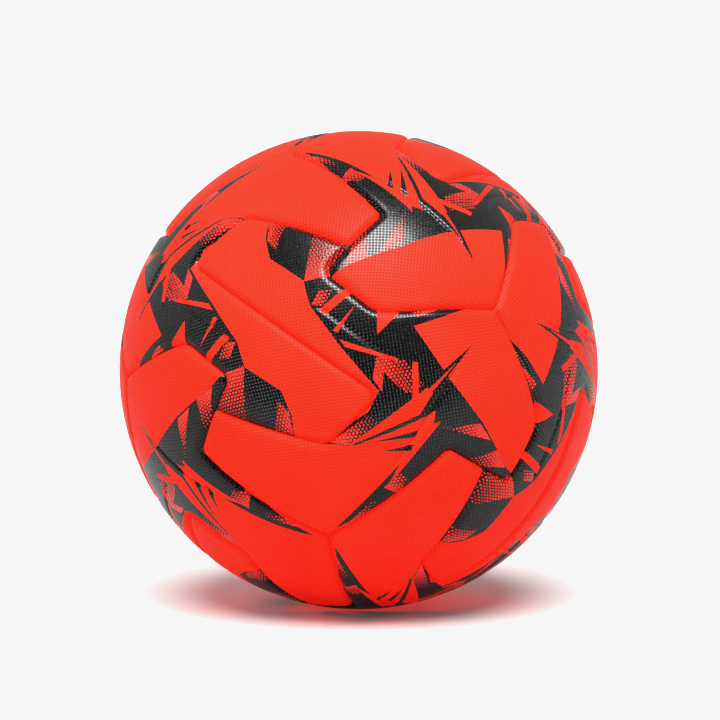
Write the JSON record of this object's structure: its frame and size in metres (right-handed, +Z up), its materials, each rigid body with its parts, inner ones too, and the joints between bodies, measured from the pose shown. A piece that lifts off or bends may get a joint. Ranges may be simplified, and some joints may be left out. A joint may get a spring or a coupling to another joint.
{
  "type": "soccer ball",
  "caption": "Bonded match football with interlocking cover panels over foam, a textile carcass and an air bladder with a needle valve.",
  "frame": {"origin": "centre of the ball", "axes": "+Z up as the ball rests on the ground; the front seen in the picture faces -Y; the valve is on the far side, up and behind"},
  "size_m": [0.22, 0.22, 0.22],
  "materials": {
    "cover_skin": "fine dimple grain, satin, fluorescent red-orange with dark grey print",
    "backing_foam": "closed-cell foam, matt",
    "seam_adhesive": "hot-melt film, satin",
    "carcass_fabric": "woven polyester soaked in latex",
    "bladder_rubber": "butyl, matt",
    "valve_rubber": "moulded rubber, matt",
    "valve_core_rubber": "soft rubber, satin"
  },
  "bodies": {
    "root": {"cover_panel_01": "cover_skin", "cover_panel_02": "cover_skin", "cover_panel_03": "cover_skin", "cover_panel_04": "cover_skin", "cover_panel_05": "cover_skin", "cover_panel_06": "cover_skin", "cover_panel_07": "cover_skin", "cover_panel_08": "cover_skin", "cover_panel_09": "cover_skin", "cover_panel_10": "cover_skin", "cover_panel_11": "cover_skin", "cover_panel_12": "cover_skin", "foam_backing_01": "backing_foam", "foam_backing_02": "backing_foam", "foam_backing_03": "backing_foam", "foam_backing_04": "backing_foam", "foam_backing_05": "backing_foam", "foam_backing_06": "backing_foam", "foam_backing_07": "backing_foam", "foam_backing_08": "backing_foam", "foam_backing_09": "backing_foam", "foam_backing_10": "backing_foam", "foam_backing_11": "backing_foam", "foam_backing_12": "backing_foam", "seam_adhesive": "seam_adhesive", "textile_carcass": "carcass_fabric", "air_bladder": "bladder_rubber", "valve_body": "valve_rubber", "valve_core": "valve_core_rubber", "balance_weight": "bladder_rubber"}
  },
  "joints": []
}
